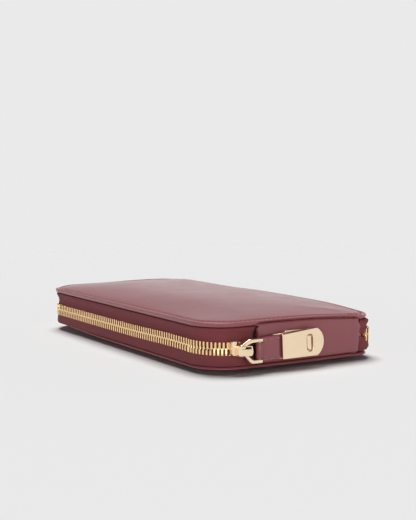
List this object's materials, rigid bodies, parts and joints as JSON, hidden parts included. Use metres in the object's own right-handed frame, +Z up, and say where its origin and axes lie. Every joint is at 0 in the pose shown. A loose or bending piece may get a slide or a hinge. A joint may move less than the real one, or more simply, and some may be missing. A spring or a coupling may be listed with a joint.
{
  "type": "long wallet",
  "caption": "Long zip-around wallet in smooth dark red leather, with a gold zip, a closed end panel, a latched pull tab, card pockets and a zipped coin pocket.",
  "frame": {"origin": "middle of the flat of the underside, on which the closed wallet lies", "axes": "+X along the wallet towards the closed end panel, -Y towards the front long side, +Z up through the covers"},
  "size_m": [0.1993, 0.105, 0.028],
  "materials": {
    "cover_leather": "smooth dyed calf, satin",
    "inner_leather": "smooth dyed lining leather, matt",
    "zip_tape": "twill-woven polyester tape",
    "zip_teeth": "polished pale gold",
    "gold_metal": "polished pale gold plating",
    "steel": "plain stamped steel",
    "lining_fabric": "fine woven lining",
    "filler": "foam and card filler, unseen"
  },
  "bodies": {
    "base": {"bottom_cover": "cover_leather", "bottom_pad": "filler", "bottom_board": "filler", "bottom_lining": "lining_fabric", "zip_tape_lower": "zip_tape", "zip_teeth_lower": "zip_teeth", "zip_tape_upper_ends": "zip_tape", "zip_teeth_upper_ends": "zip_teeth", "zip_end_stop": "zip_teeth", "end_panel": "cover_leather", "end_panel_stiffener": "filler", "end_panel_lining": "lining_fabric", "keeper_plate": "gold_metal", "keeper_post": "gold_metal", "keeper_rivets": "gold_metal", "keeper_backing": "steel", "card_pocket_lower_1": "inner_leather", "card_pocket_lower_2": "inner_leather", "card_pocket_lower_3": "inner_leather", "card_pocket_lower_4": "inner_leather"},
    "lid": {"top_cover": "cover_leather", "top_pad": "filler", "top_board": "filler", "top_lining": "lining_fabric", "zip_tape_upper": "zip_tape", "zip_teeth_upper": "zip_teeth", "card_pocket_upper_1": "inner_leather", "card_pocket_upper_2": "inner_leather", "card_pocket_upper_3": "inner_leather", "card_pocket_upper_4": "inner_leather"},
    "slider": {"zip_slider": "gold_metal", "yoke_pin": "gold_metal"},
    "yoke": {"pull_yoke": "gold_metal", "yoke_bar": "gold_metal"},
    "tab": {"pull_tab": "cover_leather", "lock_plate": "gold_metal", "lock_plate_back": "gold_metal", "lock_rivets": "gold_metal"},
    "coin_page": {"coin_pocket_back": "inner_leather", "coin_pocket_front": "inner_leather", "coin_gusset": "inner_leather", "coin_hinge_strip": "inner_leather", "coin_zip_tapes": "zip_tape", "coin_zip_teeth": "zip_teeth", "coin_zip_stops": "zip_teeth"},
    "coin_slider": {"coin_zip_slider": "gold_metal"},
    "coin_pull": {"coin_zip_pull": "inner_leather"}
  },
  "joints": [
    {"name": "lid_open", "type": "hinge", "parent": "base", "child": "lid", "pos_m": [0.0978, 0, 0.0238], "axis": [0, 1, 0], "range_deg": [0, 95]},
    {"name": "coin_page_turn", "type": "hinge", "parent": "base", "child": "coin_page", "pos_m": [0.0915, 0, 0.0137], "axis": [0, 1, 0], "range_deg": [0, 47.5]},
    {"name": "slider_run", "type": "hinge", "parent": "base", "child": "slider", "pos_m": [0.078, -0.033, 0.0128], "axis": [0, 0, 1], "range_deg": [-75, 0]},
    {"name": "yoke_swing", "type": "hinge", "parent": "slider", "child": "yoke", "pos_m": [0.0999, -0.0356, 0.0115], "axis": [0, 0, 1], "range_deg": [-100, 0]},
    {"name": "tab_swing", "type": "hinge", "parent": "yoke", "child": "tab", "pos_m": [0.0999, -0.0245, 0.0115], "axis": [0, 0, 1], "range_deg": [-75, 0]},
    {"name": "coin_slider_run", "type": "slide", "parent": "coin_page", "child": "coin_slider", "axis": [0, 1, 0], "range_m": [0, 0.064]},
    {"name": "coin_pull_swivel", "type": "hinge", "parent": "coin_slider", "child": "coin_pull", "pos_m": [-0.069, -0.032, 0.0173], "axis": [0, 0, 1], "range_deg": [-60, 60]}
  ],
  "couplings": [
    {"joint": "coin_page_turn", "follows": "lid_open", "ratio": 0.5}
  ]
}
